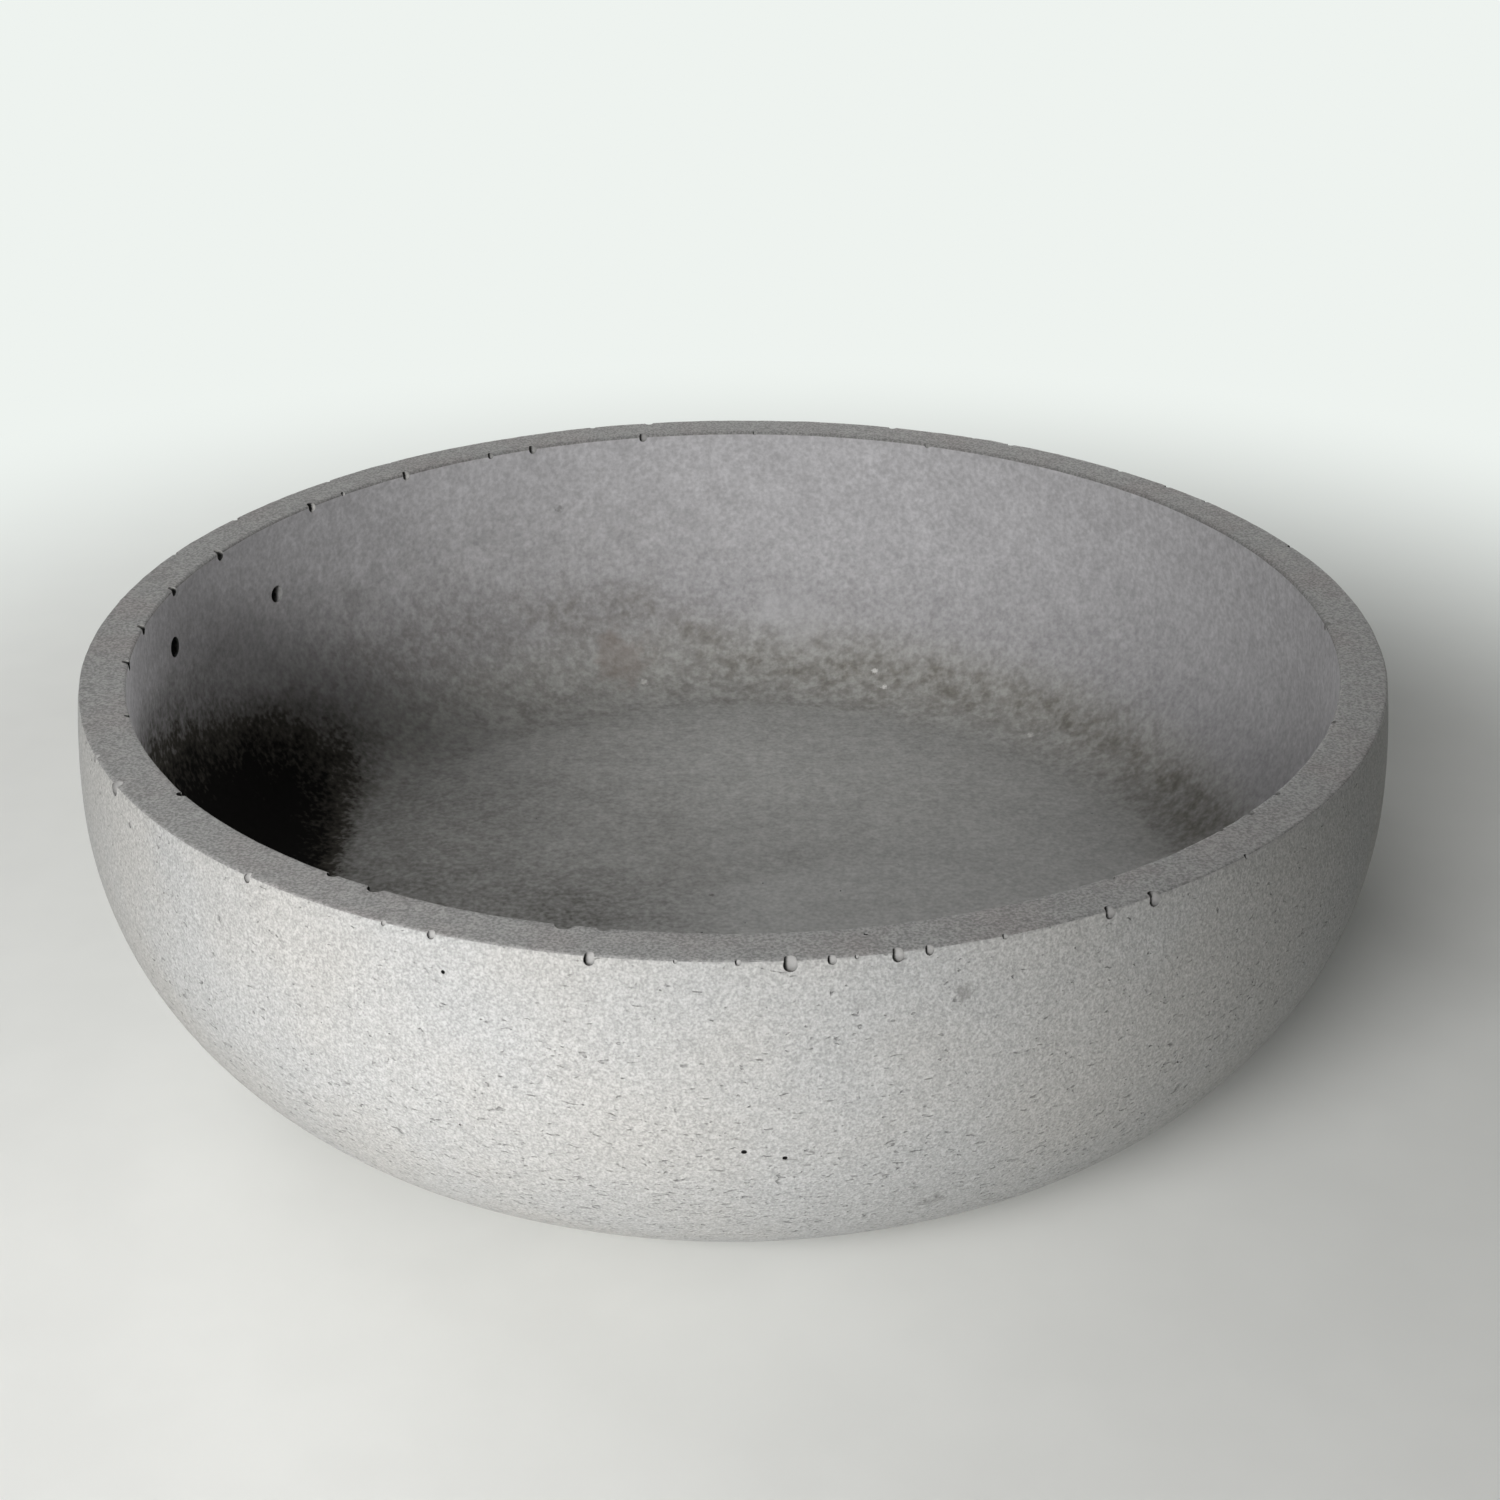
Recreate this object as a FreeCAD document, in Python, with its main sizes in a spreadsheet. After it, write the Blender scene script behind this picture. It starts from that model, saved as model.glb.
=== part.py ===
"""Round bowl planter, cast in concrete, on four rubber foot pads. Lengths are in millimetres.

The origin is the centre of the plane that the pads stand on, and +Z is up the bowl's axis.
"""
import FreeCAD
import Part
import Sketcher
import math
import os

# Driving dimensions
SIZES = {
    # Outside of the casting: the rim, the widest ring below it, and the base.
    # The base slope is in degrees: how steeply the wall still rises where it leaves the base.
    "rim_radius": 150.0,
    "casting_height": 98.0,
    "belly_bulge": 1.7,
    "belly_depth": 24.5,
    "base_slope": 13.7,
    "base_round": 4.0,
    # Inside of the casting: the rim face, the wall that curves in towards the floor, and the cove
    "rim_width": 10.5,
    "rim_round": 0.8,
    "floor_thickness": 28.0,
    "wall_curve_height": 46.0,
    "wall_curve_inset": 25.0,
    "cove_radius": 28.0,
    # Foot pads, the adhesive discs on top of them, and their seats in the base
    "pad_radius": 10.0,
    "pad_thickness": 3.0,
    "pad_round": 0.6,
    "pad_inset": 22.0,
    "adhesive_thickness": 0.3,
    "adhesive_margin": 0.5,
    "seat_depth": 1.3,
    "seat_clearance": 0.3,
}
PAD_SIDES = ("right", "back", "left", "front")

FULL_TURN = 360.0
QUARTER_TURN = FULL_TURN / 4
UP = FreeCAD.Vector(0, 0, 1)

# Sizes that follow from the driving dimensions
BELLY_RADIUS = "sizes.rim_radius + sizes.belly_bulge"
BELLY_HEIGHT = "sizes.casting_height - sizes.belly_depth"
BASE_RADIUS = f"{BELLY_RADIUS} - ({BELLY_HEIGHT}) * tan(({QUARTER_TURN} - sizes.base_slope) / 2)"
MOUTH_RADIUS = "sizes.rim_radius - sizes.rim_width"
FLOOR_RADIUS = f"{MOUTH_RADIUS} - sizes.wall_curve_inset"
STAND_HEIGHT = "sizes.pad_thickness + sizes.adhesive_thickness - sizes.seat_depth"
PAD_PITCH_RADIUS = f"{BASE_RADIUS} - sizes.pad_inset"
SEAT_RADIUS = "sizes.pad_radius + sizes.seat_clearance"
ADHESIVE_RADIUS = "sizes.pad_radius - sizes.adhesive_margin"

# How a sketch numbers its own origin and first axis, and an edge's start, end and centre
SKETCH_ORIGIN = (-1, 1)
SKETCH_AXIS = -1
START, END, CENTRE = 1, 2, 3

# Two lengths this close, in millimetres, are the same length, and two volumes this close in share
SAME_LENGTH = 1e-6
SAME_VOLUME_SHARE = 1e-3

doc = FreeCAD.newDocument("BowlPlanter")
sheet = doc.addObject("Spreadsheet::Sheet", "sizes")
for row, (alias, value) in enumerate(SIZES.items(), start=1):
    sheet.set(f"A{row}", alias)
    sheet.set(f"B{row}", str(value))
    sheet.setAlias(f"B{row}", alias)
doc.recompute()


def length_of(formula):
    """What a formula of the sheet's sizes comes to."""
    return float(sheet.evalExpression(formula))


def new_body(label):
    body = doc.addObject("PartDesign::Body", label)
    body.Label = label
    return body


def origin_feature(body, role):
    """A plane or an axis of the body's own origin."""
    return next(feature for feature in body.Origin.OriginFeatures if feature.Role == role)


def new_sketch(body, name, role):
    """An empty sketch on one of the body's origin planes."""
    sketch = body.newObject("Sketcher::SketchObject", name)
    sketch.AttachmentSupport = [(origin_feature(body, role), "")]
    sketch.MapMode = "FlatFace"
    return sketch


def tie(sketch, name, formula, *constraint):
    """Adds a named dimension to a sketch and binds it to the sheet."""
    number = sketch.addConstraint(Sketcher.Constraint(*constraint, length_of(formula)))
    sketch.renameConstraint(number, name)
    sketch.setExpression(f"Constraints.{name}", formula)


def add_line(sketch, first, last):
    return sketch.addGeometry(Part.LineSegment(FreeCAD.Vector(*first), FreeCAD.Vector(*last)))


def add_upright_arc(sketch, upright_end, leaning_end):
    """Adds an arc that is upright at one end and leans in towards the axis at the other."""
    upright_x, upright_y = upright_end
    inset = upright_x - leaning_end[0]
    rise = leaning_end[1] - upright_y
    radius = math.hypot(inset, rise) ** 2 / (2 * inset)
    swing = math.atan2(rise, radius - inset)
    circle = Part.Circle(FreeCAD.Vector(upright_x - radius, upright_y), UP, radius)
    return sketch.addGeometry(Part.ArcOfCircle(circle, min(0, swing), max(0, swing)))


def add_circle(sketch, name, x, formula):
    """Adds a circle at that x on the sketch's first axis, with its radius bound to the sheet."""
    circle = sketch.addGeometry(Part.Circle(FreeCAD.Vector(x, 0), UP, length_of(formula)))
    tie(sketch, name, formula, "Radius", circle)
    return circle


def ring_edge(feature, radius, height):
    """Name of the round edge that a feature has around the axis at that radius and height."""
    for number, edge in enumerate(feature.Shape.Edges, start=1):
        curve = edge.Curve
        if not isinstance(curve, Part.Circle):
            continue
        offset = FreeCAD.Vector(0, 0, height) - curve.Center
        if offset.Length < SAME_LENGTH and abs(curve.Radius - radius) < SAME_LENGTH:
            return f"Edge{number}"
    raise RuntimeError(f"{feature.Name} has no ring of radius {radius} at height {height}")


def add_round(body, name, base, rings, formula):
    """Rounds the edges at those radii and heights of a feature."""
    doc.recompute()
    edges = [ring_edge(base, length_of(radius), length_of(height)) for radius, height in rings]
    fillet = body.newObject("PartDesign::Fillet", name)
    fillet.Base = (base, edges)
    fillet.setExpression("Radius", formula)
    return fillet


def draw_casting_profile(sketch):
    """Half of a cut through the bowl's axis: base, outer wall, rim face, inner wall and floor."""
    base_edge = (length_of(BASE_RADIUS), 0)
    belly = (length_of(BELLY_RADIUS), length_of(BELLY_HEIGHT))
    rim_outside = (length_of("sizes.rim_radius"), length_of("sizes.casting_height"))
    rim_inside = (length_of(MOUTH_RADIUS), length_of("sizes.casting_height"))
    wall_bend = (length_of(MOUTH_RADIUS), length_of("sizes.floor_thickness + sizes.wall_curve_height"))
    floor_edge = (length_of(FLOOR_RADIUS), length_of("sizes.floor_thickness"))
    floor_centre = (0, length_of("sizes.floor_thickness"))
    base_centre = (0, 0)

    base = add_line(sketch, base_centre, base_edge)
    lower_wall = add_upright_arc(sketch, belly, base_edge)
    upper_wall = add_upright_arc(sketch, belly, rim_outside)
    rim = add_line(sketch, rim_outside, rim_inside)
    inner_wall = add_line(sketch, rim_inside, wall_bend)
    curved_wall = add_upright_arc(sketch, wall_bend, floor_edge)
    floor = add_line(sketch, floor_edge, floor_centre)
    axis = add_line(sketch, floor_centre, base_centre)

    for constraint in (
        ("Coincident", base, START, *SKETCH_ORIGIN),
        ("Coincident", base, END, lower_wall, START),
        ("Coincident", lower_wall, END, upper_wall, START),
        ("Coincident", upper_wall, END, rim, START),
        ("Coincident", rim, END, inner_wall, START),
        ("Coincident", inner_wall, END, curved_wall, END),
        ("Coincident", curved_wall, START, floor, START),
        ("Coincident", floor, END, axis, START),
        ("Coincident", axis, END, base, START),
        ("Horizontal", base),
        ("Horizontal", rim),
        ("Horizontal", floor),
        ("Vertical", inner_wall),
        ("Vertical", axis),
        ("Horizontal", lower_wall, CENTRE, lower_wall, END),
        ("Horizontal", upper_wall, CENTRE, upper_wall, START),
        ("Horizontal", curved_wall, CENTRE, curved_wall, END),
    ):
        sketch.addConstraint(Sketcher.Constraint(*constraint))

    tie(sketch, "base_radius", BASE_RADIUS, "DistanceX", *SKETCH_ORIGIN, base, END)
    tie(sketch, "belly_radius", BELLY_RADIUS, "DistanceX", *SKETCH_ORIGIN, lower_wall, END)
    tie(sketch, "belly_height", BELLY_HEIGHT, "DistanceY", *SKETCH_ORIGIN, lower_wall, END)
    tie(sketch, "rim_radius", "sizes.rim_radius", "DistanceX", *SKETCH_ORIGIN, rim, START)
    tie(sketch, "casting_height", "sizes.casting_height", "DistanceY", *SKETCH_ORIGIN, rim, START)
    tie(sketch, "rim_width", "sizes.rim_width", "DistanceX", rim, END, rim, START)
    tie(sketch, "floor_thickness", "sizes.floor_thickness", "DistanceY", axis, END, axis, START)
    tie(sketch, "curve_height", "sizes.wall_curve_height", "DistanceY", floor, START, inner_wall, END)
    tie(sketch, "curve_inset", "sizes.wall_curve_inset", "DistanceX", floor, START, inner_wall, END)


def make_bowl_casting():
    """The bowl: one revolved casting with soft arrises, a cove and a row of pad seats underneath."""
    body = new_body("bowl_casting")
    profile = new_sketch(body, "casting_profile", "XZ_Plane")
    draw_casting_profile(profile)
    turned = body.newObject("PartDesign::Revolution", "turned_casting")
    turned.Profile = profile
    turned.ReferenceAxis = (profile, ["V_Axis"])
    turned.Angle = FULL_TURN

    cove = add_round(body, "cove", turned, [(FLOOR_RADIUS, "sizes.floor_thickness")], "sizes.cove_radius")
    rim_rings = [(radius, "sizes.casting_height") for radius in ("sizes.rim_radius", MOUTH_RADIUS)]
    rim = add_round(body, "rim_arrises", cove, rim_rings, "sizes.rim_round")
    base = add_round(body, "base_edge", rim, [(BASE_RADIUS, "0")], "sizes.base_round")
    doc.recompute()
    volume_before_seats = base.Shape.Volume

    seat_sketch = new_sketch(body, "pad_seat_outline", "XY_Plane")
    outline = add_circle(seat_sketch, "seat_radius", length_of(PAD_PITCH_RADIUS), SEAT_RADIUS)
    seat_sketch.addConstraint(Sketcher.Constraint("PointOnObject", outline, CENTRE, SKETCH_AXIS))
    tie(seat_sketch, "pitch_radius", PAD_PITCH_RADIUS, "DistanceX", *SKETCH_ORIGIN, outline, CENTRE)
    seat = body.newObject("PartDesign::Pocket", "pad_seat")
    seat.Profile = seat_sketch
    seat.Reversed = True
    seat.setExpression("Length", "sizes.seat_depth")
    seats = body.newObject("PartDesign::PolarPattern", "pad_seats")
    seats.Originals = [seat]
    seats.Axis = (origin_feature(body, "Z_Axis"), [""])
    seats.Angle = FULL_TURN
    seats.Occurrences = len(PAD_SIDES)
    body.Tip = seats
    doc.recompute()
    seat_volume = math.pi * length_of(SEAT_RADIUS) ** 2 * length_of("sizes.seat_depth")
    cut_volume = volume_before_seats - seats.Shape.Volume
    if not math.isclose(cut_volume, len(PAD_SIDES) * seat_volume, rel_tol=SAME_VOLUME_SHARE):
        raise RuntimeError("the pad seats are not cut")

    body.setExpression("Placement.Base.z", STAND_HEIGHT)
    return body


def place_on_pitch_circle(piece, side, height_formula):
    """Puts a piece on the pads' pitch circle, at its side of the bowl and that height."""
    turn = FULL_TURN * PAD_SIDES.index(side) / len(PAD_SIDES)
    piece.setExpression("Placement.Base.x", f"({PAD_PITCH_RADIUS}) * cos({turn} deg)")
    piece.setExpression("Placement.Base.y", f"({PAD_PITCH_RADIUS}) * sin({turn} deg)")
    piece.setExpression("Placement.Base.z", height_formula)


def make_foot_pad(side):
    """A rubber disc, rounded where it meets what the bowl stands on."""
    body = new_body(f"{side}_foot_pad")
    sketch = new_sketch(body, f"{side}_pad_outline", "XY_Plane")
    outline = add_circle(sketch, "pad_radius", 0, "sizes.pad_radius")
    sketch.addConstraint(Sketcher.Constraint("Coincident", outline, CENTRE, *SKETCH_ORIGIN))
    disc = body.newObject("PartDesign::Pad", f"{side}_pad_disc")
    disc.Profile = sketch
    disc.setExpression("Length", "sizes.pad_thickness")
    add_round(body, f"{side}_pad_edge", disc, [("sizes.pad_radius", "0")], "sizes.pad_round")
    place_on_pitch_circle(body, side, "0")
    return body


def make_pad_adhesive(side):
    """The double-sided disc that holds a foot pad in its seat."""
    label = f"{side}_pad_adhesive"
    disc = doc.addObject("Part::Cylinder", label)
    disc.Label = label
    disc.setExpression("Radius", ADHESIVE_RADIUS)
    disc.setExpression("Height", "sizes.adhesive_thickness")
    place_on_pitch_circle(disc, side, "sizes.pad_thickness")
    return disc


pieces = [make_bowl_casting()]
for side in PAD_SIDES:
    pieces.append(make_foot_pad(side))
    pieces.append(make_pad_adhesive(side))
doc.recompute()

# Nothing is written unless every feature built and every piece is one sound solid
for item in doc.Objects:
    if "Invalid" in item.State or "Error" in item.State:
        raise RuntimeError(f"{item.Label} did not build: {item.State}")
for piece in pieces:
    if piece.Shape.isNull() or not piece.Shape.isValid() or len(piece.Shape.Solids) != 1:
        raise RuntimeError(f"{piece.Label} is not one sound solid")

os.makedirs("parts", exist_ok=True)
for piece in pieces:
    piece.Shape.exportStep(f"parts/{piece.Label}.step")
    print(f"{piece.Label}: {piece.Shape.Volume:.0f} mm3")
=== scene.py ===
import math
import random

import bpy
import numpy as np
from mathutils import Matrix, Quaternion, Vector, noise
from mathutils.bvhtree import BVHTree


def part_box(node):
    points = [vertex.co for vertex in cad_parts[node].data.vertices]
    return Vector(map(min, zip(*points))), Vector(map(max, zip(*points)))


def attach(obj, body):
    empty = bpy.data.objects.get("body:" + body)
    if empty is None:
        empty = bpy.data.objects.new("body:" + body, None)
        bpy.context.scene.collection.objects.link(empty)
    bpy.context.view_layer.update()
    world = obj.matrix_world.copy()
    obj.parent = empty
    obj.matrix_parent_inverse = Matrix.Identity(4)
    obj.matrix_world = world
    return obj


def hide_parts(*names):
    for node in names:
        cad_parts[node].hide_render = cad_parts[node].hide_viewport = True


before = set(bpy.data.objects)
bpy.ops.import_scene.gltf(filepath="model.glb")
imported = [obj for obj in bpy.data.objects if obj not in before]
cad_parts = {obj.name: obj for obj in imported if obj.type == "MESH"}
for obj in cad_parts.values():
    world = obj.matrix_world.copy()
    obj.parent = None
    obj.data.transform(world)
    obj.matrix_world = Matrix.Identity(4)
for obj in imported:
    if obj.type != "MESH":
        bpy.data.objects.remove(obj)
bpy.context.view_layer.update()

# Viewpoint
# The bowl is seen from in front and from about 26 degrees above, through a moderately long lens.
# Places that are read off the photograph are found by following its sight lines to the bowl.
PHOTO_SIDE = 1500
SENSOR_WIDTH_MM = 36.0
LENS_MM = 60.0
NEAREST_SEEN = 0.05
EYE = Vector((0.0, -0.5389, 0.3366))
AIM = Vector((0.00375, 0.0, 0.0681))
ROLL = math.radians(-0.26)

camera = bpy.data.objects.new("camera", bpy.data.cameras.new("camera"))
bpy.context.scene.collection.objects.link(camera)
bpy.context.scene.camera = camera
camera.data.sensor_width = SENSOR_WIDTH_MM
camera.data.lens = LENS_MM
camera.data.clip_start = NEAREST_SEEN
camera.location = EYE
camera.rotation_mode = "QUATERNION"
camera.rotation_quaternion = (AIM - EYE).to_track_quat("-Z", "Y") @ Quaternion((0, 0, 1), ROLL)


def sight_line(pixel):
    """Direction in which the camera sees a pixel of the photograph."""
    across = (pixel[0] / PHOTO_SIDE - 0.5) * SENSOR_WIDTH_MM / LENS_MM
    upward = (0.5 - pixel[1] / PHOTO_SIDE) * SENSOR_WIDTH_MM / LENS_MM
    return (camera.rotation_quaternion @ Vector((across, upward, -1.0))).normalized()


# Bowl casting: the form
# One pour of fine sandy concrete, struck off flat at the rim and turned out of a round mould.
# Its section is revolved here from the same sizes as the solid, with the slight waver of a casting.
RIM_RADIUS = 0.150
RIM_WIDTH = 0.0105
RIM_ROUND = 0.0008
BELLY_DEPTH = 0.0245
BASE_SLOPE = math.radians(13.7)
BASE_ROUND = 0.004
FLOOR_THICKNESS = 0.028
WALL_CURVE_HEIGHT = 0.046
WALL_CURVE_INSET = 0.025
COVE_RADIUS = 0.028

casting_low, casting_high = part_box("bowl_casting")
base_height = casting_low.z
rim_height = casting_high.z
belly_radius = casting_high.x
floor_height = base_height + FLOOR_THICKNESS
mouth_radius = RIM_RADIUS - RIM_WIDTH

QUARTER = math.pi / 2
belly_height = rim_height - BELLY_DEPTH
belly_bulge = belly_radius - RIM_RADIUS
upper_curve = (BELLY_DEPTH**2 + belly_bulge**2) / (2 * belly_bulge)
upper_centre = (belly_radius - upper_curve, belly_height)
lower_sweep = QUARTER - BASE_SLOPE
lower_curve = (belly_height - base_height) / math.sin(lower_sweep)
lower_centre = (belly_radius - lower_curve, belly_height)
base_radius = lower_centre[0] + lower_curve * math.cos(lower_sweep)
flat_radius = base_radius - BASE_ROUND * math.tan(BASE_SLOPE / 2)

arris_height = rim_height - RIM_ROUND
lean = math.asin((arris_height - belly_height) / upper_curve)
outer_arris_radius = upper_centre[0] + (upper_curve - RIM_ROUND) * math.cos(lean)
inner_arris_radius = mouth_radius + RIM_ROUND

wall_curve = (WALL_CURVE_HEIGHT**2 + WALL_CURVE_INSET**2) / (2 * WALL_CURVE_INSET)
wall_centre = (mouth_radius - wall_curve, floor_height + WALL_CURVE_HEIGHT)
cove_height = floor_height + COVE_RADIUS
cove_drop = math.asin((wall_centre[1] - cove_height) / (wall_curve - COVE_RADIUS))
floor_radius = wall_centre[0] + (wall_curve - COVE_RADIUS) * math.cos(cove_drop)


def arc(centre, radius, start, end, steps):
    """Points of a round stretch of the section; an angle of 0 points outward and a quarter turn up."""
    angles = np.linspace(start, end, steps + 1)
    return [(centre[0] + radius * math.cos(a), centre[1] + radius * math.sin(a)) for a in angles]


def line(start, end, steps):
    """Points of a straight stretch of the section."""
    return [tuple(p) for p in np.linspace(start, end, steps + 1)]


OUTER_SKIN, RIM_FACE, INSIDE_SKIN = range(3)
RIM_EDGE_BAND = 0.0006
base_round_centre = (flat_radius, base_height + BASE_ROUND)
outer_arris_centre = (outer_arris_radius, arris_height)
inner_arris_centre = (inner_arris_radius, arris_height)
rim_start = (outer_arris_radius, rim_height)
rim_end = (inner_arris_radius, rim_height)
rim_inset_start = (outer_arris_radius - RIM_EDGE_BAND, rim_height)
rim_inset_end = (inner_arris_radius + RIM_EDGE_BAND, rim_height)
wall_top = (mouth_radius, arris_height)
wall_inset_top = (mouth_radius, arris_height - RIM_EDGE_BAND)
section = [
    (OUTER_SKIN, line((0.0, base_height), (flat_radius, base_height), steps=12)),
    (OUTER_SKIN, arc(base_round_centre, BASE_ROUND, -QUARTER, -lower_sweep, steps=2)),
    (OUTER_SKIN, arc(lower_centre, lower_curve, -lower_sweep, 0.0, steps=36)),
    (OUTER_SKIN, arc(upper_centre, upper_curve, 0.0, lean, steps=9)),
    (OUTER_SKIN, arc(outer_arris_centre, RIM_ROUND, lean, QUARTER / 2, steps=2)),
    (RIM_FACE, arc(outer_arris_centre, RIM_ROUND, QUARTER / 2, QUARTER, steps=2)),
    (RIM_FACE, line(rim_start, rim_inset_start, steps=1)),
    (RIM_FACE, line(rim_inset_start, rim_inset_end, steps=4)),
    (RIM_FACE, line(rim_inset_end, rim_end, steps=1)),
    (RIM_FACE, arc(inner_arris_centre, RIM_ROUND, QUARTER, math.pi, steps=4)),
    (INSIDE_SKIN, line(wall_top, wall_inset_top, steps=1)),
    (INSIDE_SKIN, line(wall_inset_top, (mouth_radius, wall_centre[1]), steps=8)),
    (INSIDE_SKIN, arc(wall_centre, wall_curve, 0.0, -cove_drop, steps=14)),
    (INSIDE_SKIN, arc((floor_radius, cove_height), COVE_RADIUS, -cove_drop, -QUARTER, steps=12)),
    (INSIDE_SKIN, line((floor_radius, floor_height), (0.0, floor_height), steps=22)),
]

rows = [section[0][1][0]]
skins = []
for skin, points in section:
    rows.extend(points[1:])
    skins.extend([skin] * (len(points) - 1))
rows = np.array(rows)
slopes = np.gradient(rows, axis=0)
facings = np.stack([slopes[:, 1], -slopes[:, 0]], axis=1)
facings /= np.linalg.norm(facings, axis=1, keepdims=True)

SEGMENTS = 320
WAVER = 0.00013
WAVER_LENGTH = 0.032
NIBBLE = 0.00016
NIBBLE_LENGTH = 0.0042
NIBBLE_LOSS = 0.4
WEAR_REACH = 2 * RIM_ROUND


def waver(point, radius, height):
    """How far a point of the casting stands off the true form, most of all along the worn arrises."""
    if height <= base_height:
        return 0.0
    drift = WAVER * noise.noise(point / WAVER_LENGTH)
    edge_distance = min(abs(radius - RIM_RADIUS), abs(radius - mouth_radius)) + rim_height - height
    wear = max(0.0, 1.0 - edge_distance / WEAR_REACH)
    return drift + wear * NIBBLE * (noise.noise(point / NIBBLE_LENGTH) - NIBBLE_LOSS)


turns = [(math.cos(a), math.sin(a)) for a in np.linspace(0, 2 * math.pi, SEGMENTS, endpoint=False)]
vertices = []
for (radius, height), facing in zip(rows[1:-1], facings[1:-1]):
    for cosine, sine in turns:
        off = waver(Vector((radius * cosine, radius * sine, height)), radius, height)
        out = radius + off * facing[0]
        vertices.append((out * cosine, out * sine, height + off * facing[1]))
ring_count = len(rows) - 2
underside_centre = len(vertices)
floor_centre = underside_centre + 1
vertices += [(0.0, 0.0, base_height), (0.0, 0.0, floor_height)]

faces = []
face_skins = []
for segment in range(SEGMENTS):
    following = (segment + 1) % SEGMENTS
    faces.append((underside_centre, following, segment))
    face_skins.append(skins[0])
    for ring in range(ring_count - 1):
        low, high = ring * SEGMENTS, (ring + 1) * SEGMENTS
        faces.append((low + segment, low + following, high + following, high + segment))
        face_skins.append(skins[ring + 1])
    last = (ring_count - 1) * SEGMENTS
    faces.append((last + segment, last + following, floor_centre))
    face_skins.append(skins[-1])

casting_mesh = bpy.data.meshes.new("cast_bowl")
casting_mesh.from_pydata(vertices, [], faces)
casting = bpy.data.objects.new("cast_bowl", casting_mesh)
bpy.context.scene.collection.objects.link(casting)
plain_casting = BVHTree.FromPolygons(vertices, faces)


def on_casting(pixel):
    """Point and outward direction of the casting where the photograph shows this pixel."""
    point, outward, _, _ = plain_casting.ray_cast(EYE, sight_line(pixel))
    return point, outward


# Bowl casting: the concrete
# Grey cement with fine sand. The moulded outside shows its grains and short pits, the struck rim is
# smoother, and the inside is the smoothest, with a tide of soil left in the cove. In places painted light
# and painted shade lie on these colours.
def add_node(tree, kind, inputs=None, **settings):
    """Adds a node; an input that is another node's output is linked, and any other is set."""
    node = tree.nodes.new(kind)
    for name, value in settings.items():
        setattr(node, name, value)
    for name, value in (inputs or {}).items():
        if isinstance(value, bpy.types.NodeSocket):
            tree.links.new(value, node.inputs[name])
        else:
            node.inputs[name].default_value = value
    return node


def math_of(tree, operation, first, second):
    """Result of a sum on two values."""
    return add_node(tree, "ShaderNodeMath", {0: first, 1: second}, operation=operation).outputs[0]


def remap(tree, value, start, end, low, high, smooth=True):
    """Value carried from one range to another, held at its ends."""
    kind = "SMOOTHSTEP" if smooth else "LINEAR"
    inputs = {"Value": value, "From Min": start, "From Max": end, "To Min": low, "To Max": high}
    return add_node(tree, "ShaderNodeMapRange", inputs, interpolation_type=kind).outputs["Result"]


def blend(tree, share, first, second):
    """Colour between two colours."""
    inputs = {0: share, 6: first, 7: second}
    return add_node(tree, "ShaderNodeMix", inputs, data_type="RGBA").outputs[2]


GRAIN_ROUGHNESS = 0.55
SPECKLE_SPAN = (0.34, 0.66)
CLOUD_SPAN = (0.35, 0.65)
WIDE_SPAN = (0.3, 0.7)


def grain(tree, place, size, detail=2.0, twist=0.0):
    """Pattern from 0 to 1 with grains of this size in metres, bent about by the twist."""
    return add_node(tree, "ShaderNodeTexNoise", {
        "Vector": place,
        "Scale": 1.0 / size,
        "Detail": detail,
        "Roughness": GRAIN_ROUGHNESS,
        "Distortion": twist,
    }).outputs[0]


def speckled(tree, pattern, at_low, at_high, span=SPECKLE_SPAN):
    """Share that follows a pattern in a straight line over the span of its usual values."""
    return remap(tree, pattern, *span, at_low, at_high, smooth=False)


def clouded(tree, pattern, at_low, at_high, span=CLOUD_SPAN):
    """Share that follows a pattern smoothly over the span of its usual values."""
    return remap(tree, pattern, *span, at_low, at_high)


def stretched(tree, place, factors):
    """Object coordinates with a pattern drawn out or flattened along each axis."""
    return add_node(tree, "ShaderNodeMapping", {"Vector": place, "Scale": factors}).outputs[0]


def height_of(tree, place):
    """Height of each point of the surface."""
    return add_node(tree, "ShaderNodeSeparateXYZ", {0: place}).outputs["Z"]


def mark_of(tree, name):
    """Strength of a mark that is laid on the vertices."""
    return add_node(tree, "ShaderNodeAttribute", attribute_name=name).outputs["Fac"]


FRAY_SIZE = 0.5
FRAY_REACH = 0.4
SPOT_HEART = 0.3


def spot(tree, place, centre, radius, strength):
    """Soft frayed mark of this radius about a point."""
    inputs = {0: place, 1: centre}
    distance = add_node(tree, "ShaderNodeVectorMath", inputs, operation="DISTANCE").outputs["Value"]
    reach = FRAY_REACH * radius
    fray = speckled(tree, grain(tree, place, FRAY_SIZE * radius), -reach, reach, WIDE_SPAN)
    frayed = math_of(tree, "ADD", distance, fray)
    return remap(tree, frayed, radius, SPOT_HEART * radius, 0.0, strength)


MATT_GLOSS = 0.25


def start_material(name, roughness, gloss=MATT_GLOSS):
    """New material with a matt mineral surface; returns it with its tree, surface and coordinates."""
    material = bpy.data.materials.new(name)
    material.use_nodes = True
    tree = material.node_tree
    surface = tree.nodes["Principled BSDF"]
    surface.inputs["Roughness"].default_value = roughness
    surface.inputs["Specular IOR Level"].default_value = gloss
    place = add_node(tree, "ShaderNodeTexCoord").outputs["Object"]
    return material, tree, surface, place


def shaded(tree, colour, *shares):
    """Colour made lighter or darker by each share in turn."""
    for share in shares:
        inputs = {0: colour, "Scale": share}
        colour = add_node(tree, "ShaderNodeVectorMath", inputs, operation="SCALE").outputs[0]
    return colour


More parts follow.
